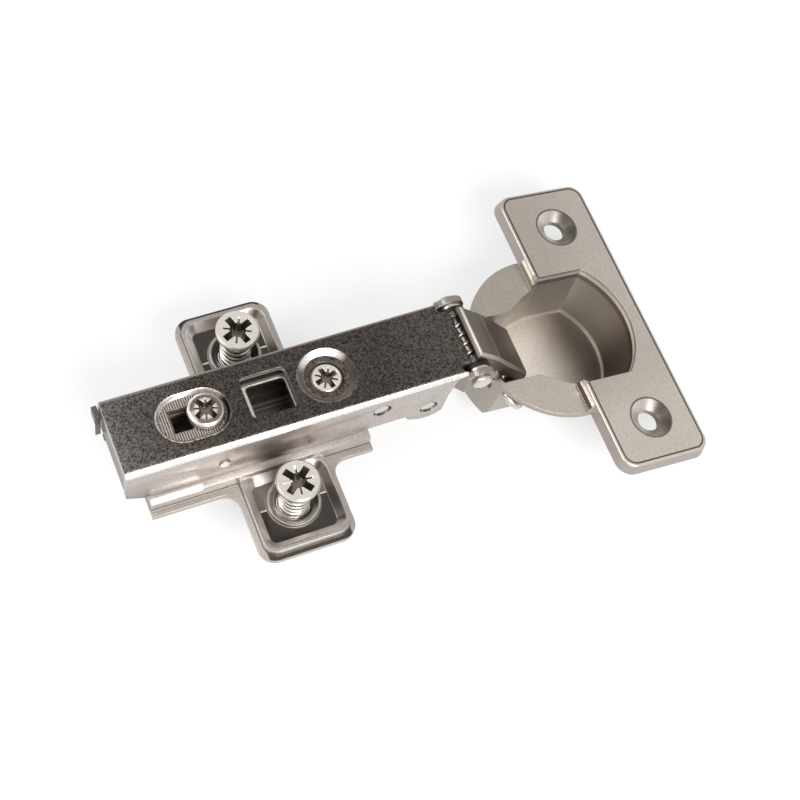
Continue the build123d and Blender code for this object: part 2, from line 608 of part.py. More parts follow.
def make_clip_lever():
    inside = CARRIAGE_HALF_WIDTH - THIN_SHEET - 0.2
    y0 = inside - 1.0
    back = ARM_BACK - 0.2
    points = [(back, 6.2), (-26, 5.6), (-12.6, 7.4), CLIP_PIN, (-12.4, 10.8), (-24, 8.0), (back, 7.2)]
    lever = side_plate(outline(points) + disc(CLIP_PIN, 2.0), y0, inside)
    lever += block(back - 1.0, back, y0 - 0.3, ARM_HALF_WIDTH + 0.4, 6.2, 13.0)
    lever -= block(back - 2, back + 0.5, ARM_HALF_WIDTH - 2, ARM_HALF_WIDTH + 3, 5.0, 10.4)
    lever -= crossways(CLIP_PIN, CLIP_PIN_RADIUS + RUN_FIT, 0, 12)
    return lever


def make_clip_spring():
    wire = 0.3
    helix = Helix(0.65, 1.3, CLIP_PIN_RADIUS + wire)
    start = Plane(origin=helix @ 0, z_dir=helix % 0)
    coil = sweep(start * Circle(wire), path=helix, is_frenet=True)
    edge = CARRIAGE_HALF_WIDTH - THIN_SHEET - 0.2
    return Location((CLIP_PIN[0], -edge + wire + 1.3, CLIP_PIN[1]), (90, 0, 0)) * coil


# ------------------------------------------------------------------
# All pieces
# ------------------------------------------------------------------
cup_place = Location(CUP_ORIGIN, (0, CUP_TILT, 0))
link_side = LINK_HALF_WIDTH + SIDE_PLAY
washer_split = (link_side + EAR_INSIDE) / 2

pieces = {
    "mounting_plate": make_mounting_plate(),
    "euro_screw_far": make_euro_screw(1),
    "euro_screw_near": make_euro_screw(-1),
    "clamp_screw": make_clamp_screw(),
    "clamp_nut": make_clamp_nut(),
    "clip_carriage": make_clip_carriage(),
    "overlay_screw": make_overlay_screw(),
    "hinge_arm": make_hinge_arm(),
    "hinge_head": make_hinge_head(),
    "head_pin": make_rivet(HEAD_PIN, RIVET_RADIUS),
    "inner_link_pin": make_rivet(ARM_PIVOT, LINK_PIN_WAIST),
    "knuckle_pin": make_knuckle_pin(),
    "inner_washer_far": make_washer(link_side, washer_split, EAR_RADIUS - 0.3),
    "inner_washer_near": make_washer(-washer_split, -link_side, EAR_RADIUS - 0.3),
    "outer_washer_far": make_washer(washer_split, EAR_INSIDE, EAR_RADIUS - 0.6),
    "outer_washer_near": make_washer(-EAR_INSIDE, -washer_split, EAR_RADIUS - 0.6),
    "torsion_spring": make_torsion_spring(),
    "outer_link": make_outer_link(),
    "inner_link": make_inner_link(),
    "cup": cup_place * make_cup(),
    "cup_staple": cup_place * make_cup_staple(),
    "clip_pin_far": make_clip_pin(1),
    "clip_pin_near": make_clip_pin(-1),
    "clip_lever": make_clip_lever(),
    "clip_spring": make_clip_spring(),
}

for name, solid in pieces.items():
    solid.label = name
    export_step(solid, f"parts/{name}.step")
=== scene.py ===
"""Concealed cup hinge: finishes with painted light and shade, rolled edges, turned screws, serrations,
studio and camera.
"""
import math

import bmesh
import bpy
from mathutils import Matrix, Vector


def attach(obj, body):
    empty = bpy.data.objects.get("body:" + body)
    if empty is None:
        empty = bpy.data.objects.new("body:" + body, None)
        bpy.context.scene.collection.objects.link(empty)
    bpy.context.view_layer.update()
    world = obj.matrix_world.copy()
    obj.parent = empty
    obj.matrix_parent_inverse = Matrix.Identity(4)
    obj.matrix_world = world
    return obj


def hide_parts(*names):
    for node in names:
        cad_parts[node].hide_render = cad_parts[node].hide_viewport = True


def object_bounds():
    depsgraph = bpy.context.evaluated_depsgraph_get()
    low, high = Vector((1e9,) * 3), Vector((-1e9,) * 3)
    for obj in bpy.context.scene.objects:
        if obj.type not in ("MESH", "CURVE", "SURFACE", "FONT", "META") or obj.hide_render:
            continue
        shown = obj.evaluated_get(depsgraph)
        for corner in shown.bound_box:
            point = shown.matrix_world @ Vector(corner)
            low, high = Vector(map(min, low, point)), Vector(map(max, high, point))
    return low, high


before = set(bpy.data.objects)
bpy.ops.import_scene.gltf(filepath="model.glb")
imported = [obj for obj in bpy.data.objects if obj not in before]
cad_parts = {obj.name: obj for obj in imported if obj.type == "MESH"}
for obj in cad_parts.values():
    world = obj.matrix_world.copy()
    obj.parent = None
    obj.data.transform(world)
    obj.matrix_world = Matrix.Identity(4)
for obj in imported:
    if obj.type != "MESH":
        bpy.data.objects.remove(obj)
cad_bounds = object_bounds()
MM = 0.001
MM_PER_METRE = 1000.0


# ---------------------------------------------------------------- node trees
class Field:
    """A socket of a node tree. Arithmetic on it adds Math nodes to that tree."""

    def __init__(self, graph, socket):
        self.graph = graph
        self.socket = socket

    def __add__(self, other):
        return self.graph.math("ADD", self, other)

    __radd__ = __add__

    def __sub__(self, other):
        return self.graph.math("SUBTRACT", self, other)

    def __rsub__(self, other):
        return self.graph.math("SUBTRACT", other, self)

    def __mul__(self, other):
        return self.graph.math("MULTIPLY", self, other)

    __rmul__ = __mul__

    def __pow__(self, other):
        return self.graph.math("POWER", self, other)

    def __abs__(self):
        return self.graph.math("ABSOLUTE", self)

    def rises(self, start, end):
        """0 below start, 1 above end, smooth between."""
        return self.graph.blend_range(self, start, end, 0.0, 1.0)

    def falls(self, start, end):
        """1 below start, 0 above end, smooth between."""
        return self.graph.blend_range(self, start, end, 1.0, 0.0)

    def band(self, low, high, soft):
        """1 between low and high, 0 further than soft outside them."""
        return self.rises(low - soft, low) * self.falls(high, high + soft)


class Graph:
    """Adds nodes to a shader or geometry tree."""

    def __init__(self, tree):
        self.tree = tree

    def node(self, kind, settings=None, inputs=None):
        """New node: its settings first, then the values or links of its sockets."""
        made = self.tree.nodes.new(kind)
        for name, value in (settings or {}).items():
            setattr(made, name, value)
        for key, value in (inputs or {}).items():
            self.feed(made.inputs[key], value)
        return made

    def feed(self, socket, value):
        if isinstance(value, Field):
            self.tree.links.new(value.socket, socket)
        elif isinstance(value, bpy.types.NodeSocket):
            self.tree.links.new(value, socket)
        else:
            socket.default_value = value

    def out(self, made, key=0):
        return Field(self, made.outputs[key])

    def math(self, operation, *values):
        made = self.node("ShaderNodeMath", {"operation": operation}, dict(enumerate(values)))
        return self.out(made)

    def most(self, first, second):
        """The larger of two values."""
        return self.math("MAXIMUM", first, second)

    def blend_range(self, value, start, end, low, high):
        inputs = {"Value": value, "From Min": start, "From Max": end, "To Min": low, "To Max": high}
        made = self.node("ShaderNodeMapRange", {"interpolation_type": "SMOOTHSTEP"}, inputs)
        return self.out(made)

    def mix(self, share, first, second):
        """Colour between first and second."""
        made = self.node("ShaderNodeMix", {"data_type": "RGBA"}, {0: share, 6: first, 7: second})
        return self.out(made, 2)

    def scaled(self, colour, factor):
        """Colour or vector times a number."""
        made = self.node("ShaderNodeVectorMath", {"operation": "SCALE"}, {0: colour, "Scale": factor})
        return self.out(made)

    def noise(self, place, size, detail, roughness):
        """Noise whose coarsest patches are size millimetres across."""
        inputs = {"Vector": place, "Scale": MM_PER_METRE / size, "Detail": detail, "Roughness": roughness}
        made = self.node("ShaderNodeTexNoise", None, inputs)
        return self.out(made, "Fac")

    def combined(self, inputs):
        """Vector with the given components, by number; the others are 0."""
        return self.out(self.node("ShaderNodeCombineXYZ", None, inputs))

    def separated(self, vector):
        """The three components of a vector."""
        parts = self.node("ShaderNodeSeparateXYZ", None, {0: vector})
        return [self.out(parts, axis) for axis in range(3)]

    def seen_rays(self):
        """1 for rays from the camera, reflected or passing through, 0 for rays that only light."""
        rays = self.node("ShaderNodeLightPath")
        direct = self.most(self.out(rays, "Is Camera Ray"), self.out(rays, "Is Glossy Ray"))
        return self.most(direct, self.out(rays, "Is Transmission Ray"))


def empty_graph(owner):
    """Graph of the emptied node tree of a material or a world."""
    owner.use_nodes = True
    owner.node_tree.nodes.clear()
    return Graph(owner.node_tree)


def tint(red, green, blue):
    """Screen colour, 0 to 255, as a linear RGBA."""
    def linear(value):
        value /= 255.0
        return value / 12.92 if value <= 0.04045 else ((value + 0.055) / 1.055) ** 2.4
    return (linear(red), linear(green), linear(blue), 1.0)


# ---------------------------------------------------------------- plated metal
CUP_ORIGIN = Vector((71.2, 0.0, 3.3))
CUP_TILT = math.radians(9.2)

GRAIN_NOISE = (3.0, 0.75)        # detail and roughness
GRAIN_CONTRAST = (0.32, 0.68)
GRAIN_FACING = (0.8, 0.97)
GRAIN_ON_SIDES = 0.3
GRAIN_ROUGHNESS = 0.12
MOTTLE_NOISE = (3.0, 0.55)
MOTTLE_SIZE = 7.0
MOTTLE_ROUGHNESS = 0.16
RELIEF_STRENGTH = 0.05
RELIEF_DEPTH = 0.05 * MM
METALLIC = 0.9
BEVEL_SAMPLES = 4


class Skin:
    """Where a point of the surface lies, in millimetres, and which way it faces."""

    def __init__(self, graph):
        coordinate = graph.node("ShaderNodeTexCoord")
        self.place = graph.out(coordinate, "Object")
        self.x, self.y, self.z = [part * MM_PER_METRE for part in graph.separated(self.place)]
        self.nx, self.ny, self.nz = graph.separated(graph.out(coordinate, "Normal"))

    def in_cup_frame(self):
        """(u, w, nw): place along and out of the tilted cup, and how far it faces out of it."""
        c, s = math.cos(CUP_TILT), math.sin(CUP_TILT)
        dx = self.x - CUP_ORIGIN.x
        dz = self.z - CUP_ORIGIN.z
        return dx * c - dz * s, dx * s + dz * c, self.nx * s + self.nz * c


def metal(name, paint, roughness=0.36, grain=0.12, grain_size=0.3, mottle=0.08, soften=0.25):
    """Plated metal. paint(graph, skin) gives the plate's colour over the piece, with painted light and shade
    in it.
    """
    material = bpy.data.materials.new(name)
    graph = empty_graph(material)
    skin = Skin(graph)
    colour = paint(graph, skin)
    fine = graph.noise(skin.place, grain_size, *GRAIN_NOISE).rises(*GRAIN_CONTRAST)
    broad = graph.noise(skin.place, MOTTLE_SIZE, *MOTTLE_NOISE)
    exposed = GRAIN_ON_SIDES + skin.nz.rises(*GRAIN_FACING) * (1.0 - GRAIN_ON_SIDES)
    shade = 1.0 + (fine - 0.5) * exposed * (2.0 * grain) + (broad - 0.5) * (2.0 * mottle)
    colour = graph.scaled(colour, shade)
    rough = roughness + (fine - 0.5) * GRAIN_ROUGHNESS + (broad - 0.5) * MOTTLE_ROUGHNESS
    rounded = graph.node("ShaderNodeBevel", {"samples": BEVEL_SAMPLES}, {"Radius": soften * MM})
    relief = {"Strength": RELIEF_STRENGTH, "Distance": RELIEF_DEPTH, "Height": fine,
              "Normal": graph.out(rounded)}
    bump = graph.node("ShaderNodeBump", None, relief)
    inputs = {"Base Color": colour, "Metallic": METALLIC, "Roughness": rough, "Normal": graph.out(bump)}
    principled = graph.node("ShaderNodeBsdfPrincipled", None, inputs)
    graph.node("ShaderNodeOutputMaterial", None, {"Surface": graph.out(principled)})
    return material


# ---------------------------------------------------------------- paints
# Places on the pieces, in millimetres
OVAL_CENTRE = -14.4
OVAL_STRAIGHT = 2.0
OVAL_FLOOR = 15.1
OVAL_PAN = 4.2
OVAL_RIM = 4.9
DIMPLE_X = 11.2
DIMPLE_PAN = 4.3
DIMPLE_RIM = 5.5
CARRIAGE_WINDOW_X = 0.4
FLANGE_LEFT, FLANGE_RIGHT = -9.6, 9.8
FLANGE_HALF_LENGTH = 31.5
FLANGE_CORNER = 3.0
FLANGE_HOLE = (0.4, 22.5)
CUP_FLOOR = -12.6
CUP_MIDDLE = -10.0
SCREW_Y = 16.0
THREAD_ROOT = 2.6

# The spans below say where a tone comes in: from and to, in millimetres or as a share of facing.
# A third number is the softness of a band's two edges.
# Most tones placed by these spans are painted light and shade.
FACES_PLUS = (0.2, 0.5)          # towards +X or +Y
FACES_MINUS = (-0.5, -0.2)       # towards -X or -Y
FLOOR_FACING = (0.9, 0.98)
# Where and how much the up-facing faces of even() take its second colour, a painted reflection
EVEN_FACING = (-0.2, 0.9)
EVEN_SHARE = 0.3


def even(colour, low=tint(120, 114, 108)):
    """Paint of one plate colour that goes a little to a second one where it faces up, as a painted
    reflection of the surroundings.
    """
    return lambda graph, skin: graph.mix(skin.nz.rises(*EVEN_FACING) * EVEN_SHARE, colour, low)


def ring_distance(graph, x, y, centre_x, centre_y=0.0, straight=0.0):
    """Distance from a point, or from a short line along X, in the plan."""
    along = graph.most(abs(x - centre_x) - straight, 0.0)
    across = y - centre_y
    return (along * along + across * across) ** 0.5


# Arm: the dark top is a painted reflection; the walls carry painted shade, the near bend a painted highlight
# and the recess rims painted light and shade.
ARM_TOP_FACING = (0.82, 0.97)
ARM_PRESSED_Z = (14.6, 14.9)
ARM_WALL_Z = (5.0, 15.0)
ARM_WALL_FRONT = (4.0, 22.0)
ARM_SHADE_X = (-2.5, 1.0, 3.5)
ARM_SHADE_Z = (10.0, 15.5)
ARM_FAR_FACING = (0.2, 0.6)
ARM_INSIDE_Y = (6.4, 6.9)
ARM_INSIDE_Z = (12.5, 14.7)
ARM_DECK_REAR = (-29.0, -8.0)
ARM_DECK_FRONT = (18.0, 38.0)
ARM_BEND = (0.3, 0.8, 0.2)
ARM_BEND_FACING = (-0.55, -0.25)
ARM_BEND_Z = (13.0, 14.0)
OVAL_OUTLINE = (OVAL_RIM + 0.1, OVAL_RIM + 0.3)
OVAL_RIM_BAND = (OVAL_PAN, OVAL_RIM - 0.1, 0.2)
OVAL_PAN_EDGE = (OVAL_PAN - 0.2, OVAL_PAN + 0.1)
OVAL_LIGHT = (-7.0, 5.0)
DIMPLE_OUTLINE = (DIMPLE_RIM + 0.1, DIMPLE_RIM + 0.3)
DIMPLE_RIM_BAND = (DIMPLE_PAN, DIMPLE_RIM + 0.1, 0.2)
DIMPLE_PAN_EDGE = (DIMPLE_PAN - 0.2, DIMPLE_PAN)
DIMPLE_LIGHT = (-6.0, 5.0)


def arm_walls(graph, skin):
    """Pale walls with painted shade at the foot of their rear part, on the far side and inside, and a
    painted soft brown reflection and shade near the euro screw.
    """
    # Painted shade at the foot of the wall, fading out towards the front
    side = graph.mix(skin.z.rises(*ARM_WALL_Z), tint(146, 138, 133), tint(180, 172, 167))
    side = graph.mix(skin.x.rises(*ARM_WALL_FRONT), side, tint(178, 171, 166))
    # Painted soft brown reflection and shade on the wall near the euro screw
    shadow = skin.x.band(*ARM_SHADE_X) * skin.z.falls(*ARM_SHADE_Z)
    side = graph.mix(shadow * 0.3, side, tint(92, 82, 72))
    # Painted shade on the far side
    side = graph.mix(skin.ny.rises(*ARM_FAR_FACING), side, tint(128, 122, 117))
    # Painted shade on the inside of the walls
    inside = skin.z.falls(*ARM_INSIDE_Z) * abs(skin.y).falls(*ARM_INSIDE_Y)
    return graph.mix(inside, side, tint(96, 90, 84))


def arm_deck(graph, skin, oval, dimple):
    """Top painted dark as a reflection of the surroundings, with painted light and shade on the rims and
    pans of the oval recess and of the dimple.
    """
    # Painted dark reflection on the top, a little lighter at the rear and at the front
    deck = graph.mix(skin.x.falls(*ARM_DECK_REAR), tint(66, 60, 56), tint(88, 83, 79))
    deck = graph.mix(skin.x.rises(*ARM_DECK_FRONT) * 0.6, deck, tint(84, 78, 73))
    # Painted light on the near-left of the oval's rim, painted shade on the rest of it
    light = (OVAL_CENTRE - skin.x - skin.y).rises(*OVAL_LIGHT)
    rim = graph.mix(light, tint(74, 67, 62), tint(186, 178, 171))
    deck = graph.mix(oval.band(*OVAL_RIM_BAND), deck, rim)
    # Painted reflection in the oval's pan, lighter than the top
    deck = graph.mix(oval.falls(*OVAL_PAN_EDGE), deck, tint(104, 96, 89))
    # Painted light on the near-left of the dimple's rim, painted shade on the rest of it
    light = (DIMPLE_X - skin.x - skin.y).rises(*DIMPLE_LIGHT)
    rim = graph.mix(light, tint(52, 47, 43), tint(112, 105, 99))
    deck = graph.mix(dimple.band(*DIMPLE_RIM_BAND), deck, rim)
    # Painted shade in the dimple's pan
    return graph.mix(dimple.falls(*DIMPLE_PAN_EDGE), deck, tint(82, 73, 66))


def paint_arm(graph, skin):
    """Grained top and pressed recesses painted dark as a reflection, pale walls, and a painted white
    highlight on the bend of the near side.
    """
    oval = ring_distance(graph, skin.x, skin.y, OVAL_CENTRE, straight=OVAL_STRAIGHT)
    dimple = ring_distance(graph, skin.x, skin.y, DIMPLE_X)
    recesses = graph.most(oval.falls(*OVAL_OUTLINE), dimple.falls(*DIMPLE_OUTLINE))
    pressed = recesses * skin.z.rises(*ARM_PRESSED_Z)
    top = graph.most(skin.nz.rises(*ARM_TOP_FACING), pressed)
    colour = graph.mix(top, arm_walls(graph, skin), arm_deck(graph, skin, oval, dimple))
    # Painted white highlight along the near top bend
    bend = skin.nz.band(*ARM_BEND) * skin.ny.falls(*ARM_BEND_FACING) * skin.z.rises(*ARM_BEND_Z)
    return graph.mix(bend, colour, tint(222, 217, 212))


FLANGE_ACROSS = (-8.0, 8.0)
FLANGE_NEAR_END = (-24.0, -8.0)
FLANGE_SKIRT = (0.3, 0.8)
FLANGE_EDGE_FACING = (0.86, 0.97)
FLANGE_LINE = (FLANGE_CORNER - 0.75, FLANGE_CORNER - 0.5, 0.1)
FLANGE_LINE_W = (-0.5, -0.1)
CONE_LIGHT = (-2.8, 3.8)
CONE_EDGE = (4.1, 4.3)
CONE_RING = (4.15, 4.45, 0.1)
POCKET_PLAN = (16.8, 17.2)
POCKET_W = (-1.0, -0.05)
POCKET_WALL_Y = (-6.0, 10.0)
POCKET_FLOOR_U = (-14.0, 1.0)
BORDER_LOW_FACING = (0.02, 0.1)
BORDER_HIGH_FACING = (0.9, 0.97)
BORDER_W = (CUP_FLOOR + 0.1, CUP_FLOOR + 0.75, 0.2)
POCKET_SHADE_W = (-2.3, -1.5, 0.3)
POCKET_SHADE_FACING = (0.5, 0.8)
POCKET_RIM_W = (-1.3, 0.1, 0.15)
POCKET_RIM_FACING = (0.95, 0.99)
DRUM_FACING = (0.0, 0.06)
DRUM_W = (-2.6, -2.4)
LEDGE_U = (FLANGE_LEFT, FLANGE_LEFT + 0.4)
LEDGE_W = (-3.0, -2.0, 0.3)
LEDGE_FACING = (0.6, 0.9)
LEDGE_Y = (-4.0, 4.0)
UNDERSIDE_FACING = (-0.5, 0.0)


def cup_flange(graph, skin, u, w, nw):
    """Pale flange with painted light by place and facing, a fine dark line of painted shade inside its edge
    and painted light and shade in the countersinks.
    """
    # Painted light: lighter towards +u, towards the near end and on the skirt where it faces up
    top = graph.mix(u.rises(*FLANGE_ACROSS), tint(166, 157, 148), tint(178, 170, 161))
    top = graph.mix(skin.y.falls(*FLANGE_NEAR_END), top, tint(188, 181, 170))
    skirt = graph.mix(nw.rises(*FLANGE_SKIRT), tint(164, 156, 150), tint(186, 179, 172))
    top = graph.mix(nw.falls(*FLANGE_EDGE_FACING), top, skirt)
    # Painted shade: a fine dark line just inside the flange's edge, where it starts to round over
    half = (FLANGE_RIGHT - FLANGE_LEFT) / 2 - FLANGE_CORNER
    across = graph.most(abs(u - (FLANGE_RIGHT + FLANGE_LEFT) / 2) - half, 0.0)
    along = graph.most(abs(skin.y) - (FLANGE_HALF_LENGTH - FLANGE_CORNER), 0.0)
    edge = (across * across + along * along) ** 0.5
    line = edge.band(*FLANGE_LINE) * w.rises(*FLANGE_LINE_W)
    top = graph.mix(line * 0.9, top, tint(60, 54, 50))
    # Painted light and shade in the countersinks, with a painted dark ring of shade round them
    hole = ring_distance(graph, u, abs(skin.y), *FLANGE_HOLE)
    cone = graph.mix(u.rises(*CONE_LIGHT), tint(214, 207, 200), tint(82, 75, 69))
    top = graph.mix(hole.falls(*CONE_EDGE), top, cone)
    return graph.mix(hole.band(*CONE_RING) * 0.75, top, tint(66, 60, 55))


def cup_pocket(graph, skin, u, w, nw):
    """Wall and floor with painted light and shade, a painted highlight on the border between them, painted
    shade below the rim and a painted highlight on the rim at the top.
    """
    # Painted light and shade: the near wall and the right of the floor dark, the far wall and the left of
    # the floor light
    wall = graph.mix(skin.y.falls(*POCKET_WALL_Y), tint(182, 174, 164), tint(100, 94, 89))
    floor = graph.mix(u.rises(*POCKET_FLOOR_U), tint(228, 217, 206), tint(102, 94, 87))
    low = graph.mix(nw.rises(*FLOOR_FACING), wall, floor)
    # Painted highlight on the border between wall and floor
    border = nw.falls(*BORDER_HIGH_FACING) * nw.rises(*BORDER_LOW_FACING) * w.band(*BORDER_W)
    low = graph.mix(border, low, tint(226, 218, 208))
    shade = w.band(*POCKET_SHADE_W) * nw.falls(*POCKET_SHADE_FACING)
    low = graph.mix(shade * 0.5, low, tint(62, 55, 50))
    drum_side = nw.falls(*DRUM_FACING) * w.falls(*DRUM_W)
    low = graph.mix(drum_side, low, tint(172, 165, 158))
    # Painted highlight on the rim
    rim = w.band(*POCKET_RIM_W) * nw.falls(*POCKET_RIM_FACING)
    return graph.mix(rim, low, tint(250, 244, 238))


def paint_cup(graph, skin):
    """Flange, pocket, the ledge beside the flange with painted shade towards the far side, and the underside
    with painted shade.
    """
    u, w, nw = skin.in_cup_frame()
    ledge = u.falls(*LEDGE_U) * w.band(*LEDGE_W) * nw.rises(*LEDGE_FACING)
    plan = ring_distance(graph, u, skin.y, CUP_MIDDLE).falls(*POCKET_PLAN)
    inside = w.falls(*POCKET_W) * (1.0 - ledge) * plan
    colour = graph.mix(inside, cup_flange(graph, skin, u, w, nw), cup_pocket(graph, skin, u, w, nw))
    # Painted shade on the ledge towards the far side
    ledge_tone = graph.mix(skin.y.rises(*LEDGE_Y), tint(178, 169, 160), tint(160, 152, 142))
    colour = graph.mix(ledge, colour, ledge_tone)
    # Painted shade on the underside
    return graph.mix(nw.falls(*UNDERSIDE_FACING), colour, tint(150, 143, 136))


PLATE_FACING = (0.6, 0.95)
WING_START = (9.8, 10.6)
WING_SLOPE_Z = (1.2, 2.5, 0.1)
WING_SLOPE_FACING = (0.4, 0.9, 0.1)
WING_OUTER_Y = (-18.0, -16.0)
WING_FLOOR_Z = (1.4, 1.7)
WING_FLOOR_HALF = (7.9, 8.3)
WING_INNER_START = (-SCREW_Y - 0.1, -SCREW_Y + 0.1)
WING_INNER_END = (-9.0, -8.0)
WING_STEP = (SCREW_Y - 0.12, SCREW_Y + 0.12, 0.06)
WING_LIP_Z = (1.25, 1.6, 0.1)
WING_LIP_FACING = (0.3, 0.6)
BOSS_RING = (4.75, 5.2, 0.12)
BORE_EDGE = (4.3, 4.6)
BORE_Z = (2.4, 2.7)
RAIL_Y = (-8.6, -8.2)
RAIL_X = (-15.5, -15.0)
RAIL_Z = (3.0, 3.4)
WELL_HALF_LENGTH = (5.0, 7.0)
WELL_HALF_WIDTH = (4.5, 6.0)
WELL_BROAD_RIB = (3.1, 3.5, 0.25)
WELL_FINE_RIB = (2.3, 2.5, 0.2)


def wing_slopes(graph, skin, wing, colour):
    """Slopes round a wing's sunk floor, painted lighter: painted shade on the right one, painted highlights
    on the left and near ones.
    """
    slope = wing * skin.z.band(*WING_SLOPE_Z) * skin.nz.band(*WING_SLOPE_FACING)
    colour = graph.mix(slope * 0.7, colour, tint(196, 188, 182))
    right = skin.nx.falls(*FACES_MINUS) * slope
    colour = graph.mix(right, colour, tint(118, 110, 103))
    left = skin.nx.rises(*FACES_PLUS) * slope
    colour = graph.mix(left, colour, tint(220, 213, 207))
    near = skin.ny.rises(*FACES_PLUS) * slope * skin.y.falls(*WING_OUTER_Y)
    return graph.mix(near, colour, tint(250, 246, 243))


def wing_floor(graph, skin, y, boss):
    """Floor painted dark with shade and lighter on the near wing's inner half, with a painted highlight
    standing in for a step and a ring round the boss.
    """
    # Painted light on the near wing's inner half
    near_inner = skin.y.rises(*WING_INNER_START) * skin.y.falls(*WING_INNER_END)
    shade = graph.mix(near_inner, tint(68, 63, 59), tint(112, 105, 99))
    # Painted highlight standing in for a step across the floor
    shade = graph.mix(y.band(*WING_STEP), shade, tint(214, 207, 200))
    return graph.mix(boss.band(*BOSS_RING), shade, tint(122, 115, 109))


def paint_plate(graph, skin):
    """Pale pressed sheet, a little darker where it faces up as a painted reflection; sunk wings with painted
    light and shade; a white painted highlight on the end of the rail; a well painted dark with shade, with
    painted highlights along its ribs.
    """
    y = abs(skin.y)
    wing = y.rises(*WING_START)
    # Painted reflection: a little darker where the sheet faces up
    colour = graph.mix(skin.nz.rises(*PLATE_FACING), tint(176, 169, 163), tint(160, 153, 147))
    colour = wing_slopes(graph, skin, wing, colour)
    boss = ring_distance(graph, skin.x, y, 0.0, SCREW_Y)
    floor = wing * skin.z.falls(*WING_FLOOR_Z) * skin.nz.rises(*FLOOR_FACING)
    floor = floor * abs(skin.x).falls(*WING_FLOOR_HALF)
    colour = graph.mix(floor, colour, wing_floor(graph, skin, y, boss))
    # Painted shade in the far bore
    far_bore = boss.falls(*BORE_EDGE) * skin.y.rises(*WING_START) * skin.z.falls(*BORE_Z)
    colour = graph.mix(far_bore * 0.8, colour, tint(72, 65, 60))
    # Painted shade along the lips of the wings' floors
    lip_line = skin.z.band(*WING_LIP_Z) * skin.nz.falls(*WING_LIP_FACING)
    colour = graph.mix(lip_line * 0.8, colour, tint(74, 68, 64))
    # Painted highlight on the end of the rail
    rail_end = skin.y.falls(*RAIL_Y) * skin.x.falls(*RAIL_X) * skin.z.rises(*RAIL_Z)
    colour = graph.mix(rail_end, colour, tint(236, 231, 226))
    # The well under the arm: painted shade, with painted highlights along its ribs
    ribs = graph.most(skin.y.band(*WELL_BROAD_RIB), skin.y.band(*WELL_FINE_RIB) * 0.7)
    well_tone = graph.mix(ribs, tint(96, 90, 85), tint(176, 168, 161))
    well = abs(skin.x).falls(*WELL_HALF_LENGTH) * y.falls(*WELL_HALF_WIDTH)
    return graph.mix(well, colour, well_tone)


CHANNEL_WINDOW_X = (4.3, 4.9)
CHANNEL_WINDOW_Y = (3.9, 4.3)
CHANNEL_TOP_Z = (12.4, 13.0)
CHANNEL_LOW_Z = (11.8, 12.6)


def paint_carriage(graph, skin):
    """Brown-grey channel, with a painted highlight along the edge of its window and painted shade towards
    the bottom.
    """
    window = abs(skin.x - CARRIAGE_WINDOW_X).falls(*CHANNEL_WINDOW_X) * abs(skin.y).falls(*CHANNEL_WINDOW_Y)
    # Painted highlight along the edge of the window
    edge = window * skin.z.rises(*CHANNEL_TOP_Z)
    colour = graph.mix(edge, tint(112, 104, 97), tint(196, 188, 181))
    # Painted shade towards the bottom
    return graph.mix(skin.z.falls(*CHANNEL_LOW_Z), colour, tint(104, 97, 92))


LINK_UPPER_Z = (11.4, 12.4)
LINK_CREST_Z = (16.55, 16.9)
LINK_CREASE_Z = (11.75, 12.05, 0.1)
LINK_CREASE_FACING = (0.3, 0.6)
LINK_BEND_FACING = (0.35, 0.8, 0.15)


def paint_link(graph, skin):
    """Brown-grey plate with painted shade on its lower part and painted highlights along its crest, its
    crease and its bends.
    """
    # Painted shade on the lower part
    colour = graph.mix(skin.z.rises(*LINK_UPPER_Z), tint(84, 75, 68), tint(98, 91, 86))
    # Painted highlights along the crest and the crease
    crest = skin.z.rises(*LINK_CREST_Z)
    crease = skin.z.band(*LINK_CREASE_Z) * skin.nx.rises(*LINK_CREASE_FACING)
    colour = graph.mix(graph.most(crest, crease * 0.8), colour, tint(164, 156, 150))
    # Painted highlights on the bends
    bend = abs(skin.ny).band(*LINK_BEND_FACING)
    return graph.mix(bend, colour, tint(176, 167, 160))


EAR_X = (30.0, 38.0)
EAR_INSIDE_Y = (5.3, 5.7)


def paint_head(graph, skin):
    """Light grey ears, with painted shade towards the front and between the cheeks."""
    # Painted shade towards the front
    colour = graph.mix(skin.x.rises(*EAR_X), tint(176, 169, 164), tint(138, 131, 126))
    # Painted shade between the cheeks
    return graph.mix(abs(skin.y).falls(*EAR_INSIDE_Y), colour, tint(60, 54, 50))


FLANK_FACING = (0.2, 0.8)
SCREW_FACING = (-0.2, 0.9)
THREAD_END_Z = (8.0, 8.6)


def paint_screw(x, y, top, reach, depth):
    """Bright plate with painted light and shade: darker on the sides and on faces towards +X, in the recess
    of the head and at the root of the thread.
    """
    def paint(graph, skin):
        distance = ring_distance(graph, skin.x, skin.y, x, y)
        # Painted light and shade by facing: the sides darker than the top, faces towards +X darker still
        flank = graph.mix(skin.nz.falls(*FLANK_FACING), tint(214, 208, 202), tint(186, 178, 171))
        colour = graph.mix(skin.nx.rises(*SCREW_FACING) * 0.75, flank, tint(120, 111, 104))
        # Painted shade at the root of the thread
        root = distance.falls(THREAD_ROOT, THREAD_ROOT + 0.25) * skin.z.falls(*THREAD_END_Z)
        colour = graph.mix(root * 0.85, colour, tint(66, 60, 56))
        # Painted shade in the recess of the head
        recess = distance.falls(reach + 0.05, reach + 0.2) * skin.z.band(top - depth - 0.1, top - 0.3, 0.15)
        return graph.mix(recess, colour, tint(112, 104, 97))
    return paint


